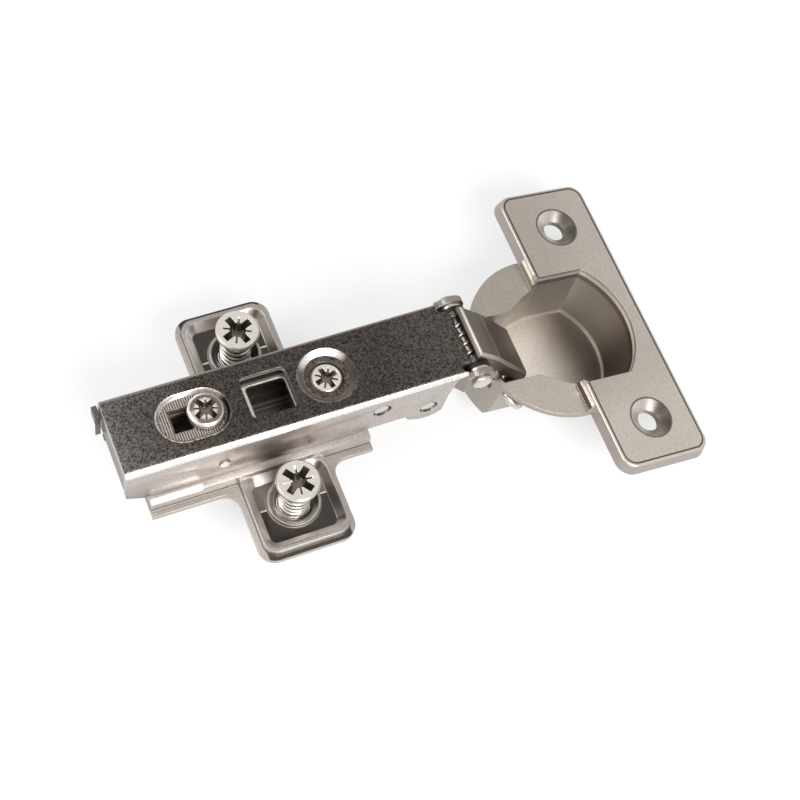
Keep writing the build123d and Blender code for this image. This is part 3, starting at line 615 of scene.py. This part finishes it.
# Each finish below mixes the plate's own colour and grain with painted light and shade
arm_finish = metal("grained_nickel_painted_light", paint_arm, grain=0.8, grain_size=0.36)
cup_finish = metal("satin_nickel_cup", paint_cup, grain=0.13, mottle=0.05)
plate_finish = metal("satin_nickel_plate", paint_plate, grain=0.18)
carriage_finish = metal("brown_nickel_channel", paint_carriage, grain=0.15)
link_finish = metal("brown_nickel_link", paint_link, grain=0.24)
head_finish = metal("grey_nickel_ears", paint_head, grain=0.1)
pale_nickel = metal("pale_nickel", even(tint(188, 181, 175)))
brown_nickel = metal("brown_nickel", even(tint(92, 85, 79)), grain=0.16)
bright_nickel = metal("bright_nickel", even(tint(205, 200, 194)), roughness=0.2, grain=0.04)
black_spacer = metal("dark_washer", even(tint(52, 47, 44), tint(30, 27, 25)), roughness=0.45)
spring_wire = metal("spring_wire", even(tint(150, 144, 138)), roughness=0.22, grain=0.05)

NODE_FINISH = {
    "hinge_arm": arm_finish,
    "cup": cup_finish,
    "mounting_plate": plate_finish,
    "hinge_head": head_finish,
    "outer_link": link_finish,
    "inner_link": pale_nickel,
    "clip_carriage": carriage_finish,
    "clip_lever": brown_nickel,
    "clamp_nut": bright_nickel,
    "inner_washer_far": black_spacer,
    "inner_washer_near": black_spacer,
    "torsion_spring": spring_wire,
    "clip_spring": spring_wire,
}
for name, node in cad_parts.items():
    node.data.materials.clear()
    node.data.materials.append(NODE_FINISH.get(name, bright_nickel))


# ---------------------------------------------------------------- meshes and objects
SHARP_EDGE = math.radians(32)
ROLLED_EDGE = math.radians(35)
FLAT_ENOUGH = math.radians(0.6)
SAME_POINT = 1e-6


def metres(*place):
    """Place in millimetres as one in metres."""
    return tuple(value * MM for value in place)


def add_object(name, data):
    """New object in the scene."""
    made = bpy.data.objects.new(name, data)
    bpy.context.scene.collection.objects.link(made)
    return made


def place_mesh(name, mesh, material):
    """Smooth object with sharp edges kept, of one material."""
    mesh.materials.clear()
    mesh.materials.append(material)
    mesh.shade_smooth()
    mesh.set_sharp_from_angle(angle=SHARP_EDGE)
    return add_object(name, mesh)


def mesh_of(shape, name):
    """Mesh of a bmesh, which is freed."""
    mesh = bpy.data.meshes.new(name)
    shape.to_mesh(mesh)
    shape.free()
    return mesh


def applied(blank):
    """Plain mesh of an object with its modifiers, which is removed."""
    bpy.context.view_layer.update()
    ready = blank.evaluated_get(bpy.context.evaluated_depsgraph_get())
    mesh = bpy.data.meshes.new_from_object(ready)
    bpy.data.objects.remove(blank, do_unlink=True)
    return mesh


def lathe(points, x, y, segments=72):
    """Mesh turned round a vertical axis, from (radius, height) points in millimetres."""
    shape = bmesh.new()
    turns = [2 * math.pi * step / segments for step in range(segments)]
    rings = []
    for radius, height in points:
        around = turns if radius else [0.0]
        places = [metres(x + radius * math.cos(turn), y + radius * math.sin(turn), height)
                  for turn in around]
        rings.append([shape.verts.new(place) for place in places])
    for low, high in zip(rings[:-1], rings[1:]):
        for step in range(segments):
            after = (step + 1) % segments
            if len(low) == 1:
                shape.faces.new((low[0], high[after], high[step]))
            elif len(high) == 1:
                shape.faces.new((low[step], low[after], high[0]))
            else:
                shape.faces.new((low[step], low[after], high[after], high[step]))
    bmesh.ops.recalc_face_normals(shape, faces=shape.faces)
    return mesh_of(shape, "turned")


def merged_copy(node):
    """A CAD solid's mesh with its loose triangles joined into flat faces."""
    shape = bmesh.new()
    shape.from_mesh(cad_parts[node].data)
    bmesh.ops.remove_doubles(shape, verts=shape.verts, dist=SAME_POINT)
    bmesh.ops.dissolve_limit(shape, angle_limit=FLAT_ENOUGH, verts=shape.verts, edges=shape.edges)
    return mesh_of(shape, node + "_merged")


def box_cutter(low, high):
    """Box between two corners, in millimetres."""
    shape = bmesh.new()
    bmesh.ops.create_cube(shape, size=MM)
    for point in shape.verts:
        for axis in range(3):
            middle, span = (low[axis] + high[axis]) / 2, high[axis] - low[axis]
            point.co[axis] = middle * MM + point.co[axis] * span
    return mesh_of(shape, "box")


def carve(mesh, cutters):
    """The mesh with each cutter taken out of it."""
    blank = add_object("blank", mesh)
    tools = [add_object(f"cutter_{number}", cutter) for number, cutter in enumerate(cutters)]
    for tool in tools:
        step = blank.modifiers.new(tool.name, "BOOLEAN")
        step.operation = "DIFFERENCE"
        step.solver = "EXACT"
        step.object = tool
    carved = applied(blank)
    for tool in tools:
        bpy.data.objects.remove(tool, do_unlink=True)
    return carved


def rolled(node, body, material, width, segments):
    """Replace a pressed part by a copy whose sharp edges are rolled over."""
    blank = add_object("blank", merged_copy(node))
    step = blank.modifiers.new("roll", "BEVEL")
    step.width = width * MM
    step.segments = segments
    step.limit_method = "ANGLE"
    step.angle_limit = ROLLED_EDGE
    piece = place_mesh(node + "_rolled", applied(blank), material)
    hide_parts(node)
    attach(piece, body)


# ---------------------------------------------------------------- cross recesses
OVERRUN = 0.2             # height of a cutter above the head
SLOT_WIDTH = 0.22         # half width of a slot, as a share of its reach
SLOT_TAPER = 0.5          # size of a slot's foot, as a share of its mouth
HUB_FOOT, HUB_MOUTH = 0.3, 0.5
HUB_SEGMENTS = 24
MARK_REACH, MARK_START = 0.98, 0.35
MARK_DEPTH, MARK_WIDTH, MARK_TAPER = 0.5, 0.2, 0.7


def tapered_bar(x, y, top, depth, reach, half_width, taper, turn, inner=None):
    """Cutter for one slot of a cross recess, narrower at its foot."""
    shape = bmesh.new()
    corners = []
    for height, share in ((top + OVERRUN, 1.0), (top - depth, taper)):
        end = reach * share
        start = -end if inner is None else inner
        side = half_width * share
        for along, across in ((start, -side), (end, -side), (end, side), (start, side)):
            place_x = x + along * math.cos(turn) - across * math.sin(turn)
            place_y = y + along * math.sin(turn) + across * math.cos(turn)
            corners.append(shape.verts.new(metres(place_x, place_y, height)))
    high, low = corners[:4], corners[4:]
    shape.faces.new(high)
    shape.faces.new(low)
    for step in range(4):
        after = (step + 1) % 4
        shape.faces.new((high[step], high[after], low[after], low[step]))
    bmesh.ops.recalc_face_normals(shape, faces=shape.faces)
    return mesh_of(shape, "slot")


def recess_cutters(x, y, top, reach, depth, turn):
    """Two crossed slots, a hub and four fine marks between the slots.

    The cut of euro_turned_near fails at one mark: it leaves stray faces up to 0.2 mm above
    the head, where the other seven marks of the two euro screws are grooves."""
    cutters = []
    for quarter in range(2):
        angle = turn + quarter * math.pi / 2
        cutters.append(tapered_bar(x, y, top, depth, reach, reach * SLOT_WIDTH, SLOT_TAPER, angle))
    foot, mouth = top - depth, top + OVERRUN
    hub = [(0, foot), (reach * HUB_FOOT, foot), (reach * HUB_MOUTH, mouth), (0, mouth)]
    cutters.append(lathe(hub, x, y, HUB_SEGMENTS))
    for quarter in range(4):
        angle = turn + math.pi / 4 + quarter * math.pi / 2
        cutters.append(tapered_bar(x, y, top, MARK_DEPTH, reach * MARK_REACH, MARK_WIDTH, MARK_TAPER,
                                   angle, inner=reach * MARK_START))
    return cutters


def recessed_screw(name, body, node, points, x, y, top, reach, depth, turn, finish_name):
    """Turned screw with a cross recess in its head; returns its finish."""
    mesh = carve(lathe(points, x, y), recess_cutters(x, y, top, reach, depth, turn))
    finish = metal(finish_name, paint_screw(x, y, top, reach, depth), roughness=0.2, grain=0.05, soften=0.12)
    piece = place_mesh(name, mesh, finish)
    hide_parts(node)
    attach(piece, body)
    return finish


# ---------------------------------------------------------------- geometry trees
SPIRAL_STEPS = 40
RIDGE_SIDES = 8
SHORTEST_RIDGE = 0.00001


def new_tree(name, inputs):
    """Empty Geometry Nodes tree with named inputs; returns it with its two ends."""
    tree = bpy.data.node_groups.new(name, "GeometryNodeTree")
    tree.interface.new_socket(name="Geometry", in_out="OUTPUT", socket_type="NodeSocketGeometry")
    for label, kind in inputs:
        tree.interface.new_socket(name=label, in_out="INPUT", socket_type=kind)
    graph = Graph(tree)
    return tree, graph, graph.node("NodeGroupInput"), graph.node("NodeGroupOutput")


def close_tree(graph, geometry, given, end):
    """Realize Instances, Set Material, output."""
    whole = graph.node("GeometryNodeRealizeInstances", None, {"Geometry": geometry})
    inputs = {"Geometry": whole.outputs[0], "Material": given.outputs["Material"]}
    painted = graph.node("GeometryNodeSetMaterial", None, inputs)
    graph.feed(end.inputs[0], painted.outputs[0])


def grow(name, tree, values, body, material):
    """Run a tree on an empty mesh, keep its result as a plain mesh and let it ride."""
    seed = add_object("seed", bpy.data.meshes.new("seed"))
    step = seed.modifiers.new("nodes", "NODES")
    step.node_group = tree
    for item in tree.interface.items_tree:
        if item.in_out == "INPUT":
            step[item.identifier] = material if item.name == "Material" else values[item.name]
    piece = place_mesh(name, applied(seed), material)
    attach(piece, body)


def thread_tree():
    """One helical ridge: a small round section swept along a spiral."""
    numbers = ("Radius", "Ridge", "Turns", "Height", "X", "Y", "Foot")
    inputs = [(label, "NodeSocketFloat") for label in numbers] + [("Material", "NodeSocketMaterial")]
    tree, graph, given, end = new_tree("helical_thread", inputs)
    take = given.outputs
    spiral = {"Resolution": SPIRAL_STEPS, "Rotations": take["Turns"], "Start Radius": take["Radius"],
              "End Radius": take["Radius"], "Height": take["Height"]}
    path = graph.node("GeometryNodeCurveSpiral", None, spiral)
    circle = {"Resolution": RIDGE_SIDES, "Radius": take["Ridge"]}
    section = graph.node("GeometryNodeCurvePrimitiveCircle", None, circle)
    swept = {"Curve": path.outputs[0], "Profile Curve": section.outputs[0], "Fill Caps": True}
    ridge = graph.node("GeometryNodeCurveToMesh", None, swept)
    place = graph.combined({0: take["X"], 1: take["Y"], 2: take["Foot"]})
    moved = {"Geometry": ridge.outputs[0], "Translation": place}
    seated = graph.node("GeometryNodeTransform", None, moved)
    close_tree(graph, seated.outputs[0], given, end)
    return tree


def serration_tree():
    """Row of fine ridges across the oval pan, cut short at its rim and at the slot."""
    numbers = ("Start", "Spacing", "Centre", "Straight", "Reach", "Slot Start", "Slot Half", "Floor",
               "Ridge Width", "Ridge Height", "Side")
    inputs = [("Count", "NodeSocketInt")] + [(label, "NodeSocketFloat") for label in numbers]
    inputs.append(("Material", "NodeSocketMaterial"))
    tree, graph, given, end = new_tree("serrations", inputs)
    take = {label: graph.out(given, label) for label in numbers}
    start = graph.combined({0: take["Start"], 2: take["Floor"]})
    offset = graph.combined({0: take["Spacing"]})
    line = {"Count": given.outputs["Count"], "Start Location": start, "Offset": offset}
    row = graph.node("GeometryNodeMeshLine", None, line)
    x = graph.separated(graph.out(graph.node("GeometryNodeInputPosition")))[0]
    past = graph.most(abs(x - take["Centre"]) - take["Straight"], 0.0)
    outer = graph.math("SQRT", graph.most(take["Reach"] * take["Reach"] - past * past, 0.0))
    inner = graph.math("GREATER_THAN", x, take["Slot Start"]) * take["Slot Half"]
    length = graph.most(outer - inner, SHORTEST_RIDGE)
    aside = graph.combined({1: (outer + inner) * take["Side"] * 0.5})
    spread = graph.node("GeometryNodeSetPosition", None, {"Geometry": row.outputs[0], "Offset": aside})
    size = graph.combined({0: take["Ridge Width"], 1: 1.0, 2: take["Ridge Height"]})
    ridge = graph.node("GeometryNodeMeshCube", None, {"Size": size})
    stretch = graph.combined({0: 1.0, 1: length, 2: 1.0})
    copies = {"Points": spread.outputs[0], "Instance": ridge.outputs[0], "Scale": stretch}
    many = graph.node("GeometryNodeInstanceOnPoints", None, copies)
    close_tree(graph, many.outputs[0], given, end)
    return tree


# ---------------------------------------------------------------- pressed parts
rolled("hinge_arm", "arm", arm_finish, width=0.12, segments=2)
rolled("mounting_plate", "base", plate_finish, width=0.15, segments=2)
rolled("outer_link", "outer", link_finish, width=0.3, segments=3)

# FOOT_CUT clears the plate. TAB_CUT was meant to narrow the thumb tab, but it takes the tab's
# join as well: the tab floats free, 0.14 mm from the lever along the arm and 0.6 mm across it
TAB_CUT = ((-32.0, 3.0, 5.0), (-29.46, 5.9, 14.0))
FOOT_CUT = ((-29.0, 3.0, 5.0), (-20.0, 9.0, 5.75))
tab_mesh = carve(merged_copy("clip_lever"), [box_cutter(*TAB_CUT), box_cutter(*FOOT_CUT)])
tab = place_mesh("clip_lever_shaped", tab_mesh, brown_nickel)
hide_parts("clip_lever")
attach(tab, "lever")


# ---------------------------------------------------------------- screws
thread = thread_tree()

# Euro screws: heights, then radii, in millimetres
EURO_TOP, EURO_TIP = 11.2, -1.8
EURO_TAPER, EURO_SHANK_TOP = 1.4, 8.3
EURO_NECK_FOOT, EURO_NECK_TOP = 9.1, 9.35
EURO_SIDE, EURO_EDGE = 0.9, 0.3
EURO_HEAD, EURO_NECK, EURO_POINT = 4.15, 3.1, 1.2
EURO_ROOT, EURO_CREST = 2.5, 3.07
EURO_REACH, EURO_DEPTH = 3.2, 2.4
EURO_PITCH, EURO_RIDGE = 1.5, 0.4
EURO_THREAD_FOOT, EURO_THREAD_TOP = EURO_TIP + 1.6, 8.2
EURO_THREAD = EURO_THREAD_TOP - EURO_THREAD_FOOT
euro_profile = [(0, EURO_TIP), (EURO_POINT, EURO_TIP), (EURO_ROOT, EURO_TIP + EURO_TAPER)]
euro_profile += [(EURO_ROOT, EURO_SHANK_TOP), (EURO_NECK, EURO_NECK_FOOT), (EURO_NECK, EURO_NECK_TOP)]
euro_profile += [(EURO_HEAD, EURO_TOP - EURO_SIDE), (EURO_HEAD, EURO_TOP - EURO_EDGE)]
euro_profile += [(EURO_HEAD - EURO_EDGE, EURO_TOP), (0, EURO_TOP)]
for label, side, turn in (("far", 1, 20.0), ("near", -1, 38.0)):
    y = side * SCREW_Y
    shine = recessed_screw(f"euro_turned_{label}", f"screw_{label}", f"euro_screw_{label}", euro_profile,
                           0.0, y, EURO_TOP, EURO_REACH, EURO_DEPTH, math.radians(turn),
                           f"screw_nickel_{label}")
    sizes = {"Radius": (EURO_CREST - EURO_RIDGE) * MM, "Ridge": EURO_RIDGE * MM,
             "Turns": EURO_THREAD / EURO_PITCH, "Height": EURO_THREAD * MM, "X": 0.0, "Y": y * MM,
             "Foot": EURO_THREAD_FOOT * MM}
    grow(f"euro_thread_{label}", thread, sizes, f"screw_{label}", shine)

# Clamp screw: a domed head on a threaded shank with a plain neck
CLAMP_X = -12.1
CLAMP_TOP, CLAMP_SEAT, CLAMP_TIP = 17.25, 15.35, 1.2
CLAMP_SIDE = 0.85
CLAMP_THREAD_TOP, CLAMP_NECK_FOOT = 13.5, 13.9
CLAMP_HEAD, CLAMP_SHANK, CLAMP_ROOT = 3.4, 2.0, 1.75
CLAMP_REACH, CLAMP_DEPTH = 2.75, 1.6
CLAMP_THREAD_FOOT = CLAMP_TIP + 0.3
CLAMP_RIDGE, CLAMP_TURNS, CLAMP_THREAD = 0.2, 15.0, 10.5
DOME_STEPS = range(12, 84, 12)
clamp_profile = [(0, CLAMP_TIP), (CLAMP_ROOT, CLAMP_TIP), (CLAMP_ROOT, CLAMP_THREAD_TOP)]
clamp_profile += [(CLAMP_SHANK, CLAMP_NECK_FOOT), (CLAMP_SHANK, CLAMP_SEAT), (CLAMP_HEAD, CLAMP_SEAT)]
clamp_profile += [(CLAMP_HEAD, CLAMP_SEAT + CLAMP_SIDE)]
dome_rise = CLAMP_TOP - CLAMP_SEAT - CLAMP_SIDE
for degrees in DOME_STEPS:
    lean = math.radians(degrees)
    dome_height = CLAMP_SEAT + CLAMP_SIDE + dome_rise * math.sin(lean)
    clamp_profile.append((CLAMP_HEAD * math.cos(lean), dome_height))
clamp_profile.append((0, CLAMP_TOP))
clamp_shine = recessed_screw("clamp_turned", "clamp", "clamp_screw", clamp_profile, CLAMP_X, 0.0,
                             CLAMP_TOP, CLAMP_REACH, CLAMP_DEPTH, math.radians(30), "screw_nickel_clamp")
sizes = {"Radius": (CLAMP_SHANK - CLAMP_RIDGE) * MM, "Ridge": CLAMP_RIDGE * MM, "Turns": CLAMP_TURNS,
         "Height": CLAMP_THREAD * MM, "X": CLAMP_X * MM, "Y": 0.0, "Foot": CLAMP_THREAD_FOOT * MM}
grow("clamp_thread", thread, sizes, "clamp", clamp_shine)

# Overlay screw: a flat head and a flat foot on a plain neck
OVERLAY_TOP, OVERLAY_SEAT = 14.9, 13.25
OVERLAY_FOOT_TOP, OVERLAY_TIP = 12.05, 11.25
OVERLAY_HEAD, OVERLAY_NECK, OVERLAY_FOOT = 3.0, 1.5, 2.3
OVERLAY_EDGE = 0.35
OVERLAY_REACH, OVERLAY_DEPTH = 2.45, 1.3
overlay_profile = [(0, OVERLAY_TIP), (OVERLAY_FOOT, OVERLAY_TIP), (OVERLAY_FOOT, OVERLAY_FOOT_TOP)]
overlay_profile += [(OVERLAY_NECK, OVERLAY_FOOT_TOP), (OVERLAY_NECK, OVERLAY_SEAT)]
overlay_profile += [(OVERLAY_HEAD, OVERLAY_SEAT), (OVERLAY_HEAD, OVERLAY_TOP - OVERLAY_EDGE)]
overlay_profile += [(OVERLAY_HEAD - OVERLAY_EDGE, OVERLAY_TOP), (0, OVERLAY_TOP)]
recessed_screw("overlay_turned", "adjuster", "overlay_screw", overlay_profile, DIMPLE_X, 0.0,
               OVERLAY_TOP, OVERLAY_REACH, OVERLAY_DEPTH, math.radians(15), "screw_nickel_overlay")


# ---------------------------------------------------------------- serrations of the oval recess
SERRATION_COUNT = 24
SERRATION_START, SERRATION_SPACING = -20.3, 0.46
SERRATION_WIDTH, SERRATION_HEIGHT = 0.2, 0.24
SLOT_START, SLOT_HALF = -18.5, 2.35
serrations = serration_tree()
# The ridges' up-facing faces are painted darker, a painted reflection
ridge_paint = even(tint(190, 182, 174), tint(150, 142, 135))
ridge_finish = metal("serrated_nickel", ridge_paint, grain=0.08, soften=0.05)
for label, side in (("far", 1.0), ("near", -1.0)):
    sizes = {"Count": SERRATION_COUNT, "Start": SERRATION_START * MM, "Spacing": SERRATION_SPACING * MM,
             "Centre": OVAL_CENTRE * MM, "Straight": OVAL_STRAIGHT * MM, "Reach": (OVAL_PAN - 0.1) * MM,
             "Slot Start": SLOT_START * MM, "Slot Half": SLOT_HALF * MM, "Floor": OVAL_FLOOR * MM,
             "Ridge Width": SERRATION_WIDTH * MM, "Ridge Height": SERRATION_HEIGHT * MM, "Side": side}
    grow(f"oval_serrations_{label}", serrations, sizes, "arm", ridge_finish)


# ---------------------------------------------------------------- studio
WHITE = (1.0, 1.0, 1.0, 1.0)
FLOOR_COLOUR = (0.9, 0.89, 0.885, 1.0)
FLOOR_GLOW = 0.6
FLOOR_HALF = 3.0
LIT_STRENGTH = 0.55
HINGE_MIDDLE = Vector((0.03, 0.0, 0.0))


def studio():
    """White surroundings, weaker as a light than they look."""
    world = bpy.data.worlds.new("studio")
    bpy.context.scene.world = world
    graph = empty_graph(world)
    strength = LIT_STRENGTH + graph.seen_rays() * (1.0 - LIT_STRENGTH)
    background = graph.node("ShaderNodeBackground", None, {"Color": WHITE, "Strength": strength})
    graph.node("ShaderNodeOutputWorld", None, {"Surface": graph.out(background)})


def floor():
    """Pale sheet under the part that looks almost white and still takes shadows."""
    low = min(cad_bounds[0][2], cad_bounds[1][2])
    mesh = bpy.data.meshes.new("floor")
    plan = ((-FLOOR_HALF, -FLOOR_HALF), (FLOOR_HALF, -FLOOR_HALF), (FLOOR_HALF, FLOOR_HALF),
            (-FLOOR_HALF, FLOOR_HALF))
    mesh.from_pydata([(x, y, low) for x, y in plan], [], [(0, 1, 2, 3)])
    material = bpy.data.materials.new("pale_floor")
    graph = empty_graph(material)
    lit = graph.node("ShaderNodeBsdfDiffuse", None, {"Color": FLOOR_COLOUR})
    glow = graph.node("ShaderNodeEmission", None, {"Color": WHITE, "Strength": 1.0})
    inputs = {0: graph.seen_rays() * FLOOR_GLOW, 1: graph.out(lit), 2: graph.out(glow)}
    both = graph.node("ShaderNodeMixShader", None, inputs)
    graph.node("ShaderNodeOutputMaterial", None, {"Surface": graph.out(both)})
    mesh.materials.append(material)
    sheet = add_object("floor", mesh)


def lamp(name, place, size, watts):
    """Square lamp that shines on the middle of the hinge."""
    light = bpy.data.lights.new(name, "AREA")
    light.shape = "SQUARE"
    light.size = size
    light.energy = watts
    holder = add_object(name, light)
    holder.location = place
    aim = HINGE_MIDDLE - Vector(place)
    holder.rotation_euler = aim.to_track_quat("-Z", "Y").to_euler()


# ---------------------------------------------------------------- camera
VIEW_AZIMUTH, VIEW_ELEVATION, VIEW_ROLL = -0.673, 1.092, 0.319
VIEW_TARGET = Vector((20.0, 0.0, 10.0))
VIEW_DISTANCE = 313.836
SHIFT_RIGHT, SHIFT_UP = -5.999, 4.435
FOCAL_PIXELS, IMAGE_PIXELS = 1684.17, 800.0
SENSOR_WIDTH = 36.0
CLIP_START = 0.01


def camera():
    """Camera that looks at VIEW_TARGET from afar, rolled, and shifted in its own plane."""
    flat = math.cos(VIEW_ELEVATION)
    back = Vector((math.sin(VIEW_AZIMUTH) * flat, -math.cos(VIEW_AZIMUTH) * flat, math.sin(VIEW_ELEVATION)))
    right = Vector((0, 0, 1)).cross(back).normalized()
    up = back.cross(right)
    level_right = math.cos(VIEW_ROLL) * right + math.sin(VIEW_ROLL) * up
    level_up = -math.sin(VIEW_ROLL) * right + math.cos(VIEW_ROLL) * up
    place = VIEW_TARGET - SHIFT_RIGHT * level_right - SHIFT_UP * level_up + VIEW_DISTANCE * back
    data = bpy.data.cameras.new("camera")
    data.sensor_width = SENSOR_WIDTH
    data.lens = FOCAL_PIXELS * SENSOR_WIDTH / IMAGE_PIXELS
    data.clip_start = CLIP_START
    holder = add_object("camera", data)
    turn = Matrix((level_right, level_up, back)).transposed().to_4x4()
    holder.matrix_world = Matrix.Translation(place * MM) @ turn
    bpy.context.scene.camera = holder


studio()
floor()
lamp("key", (0.05, -0.45, 0.40), size=0.35, watts=4.2)
lamp("fill", (-0.40, 0.10, 0.45), size=0.4, watts=2.0)
camera()
bpy.context.scene.view_settings.view_transform = "Standard"
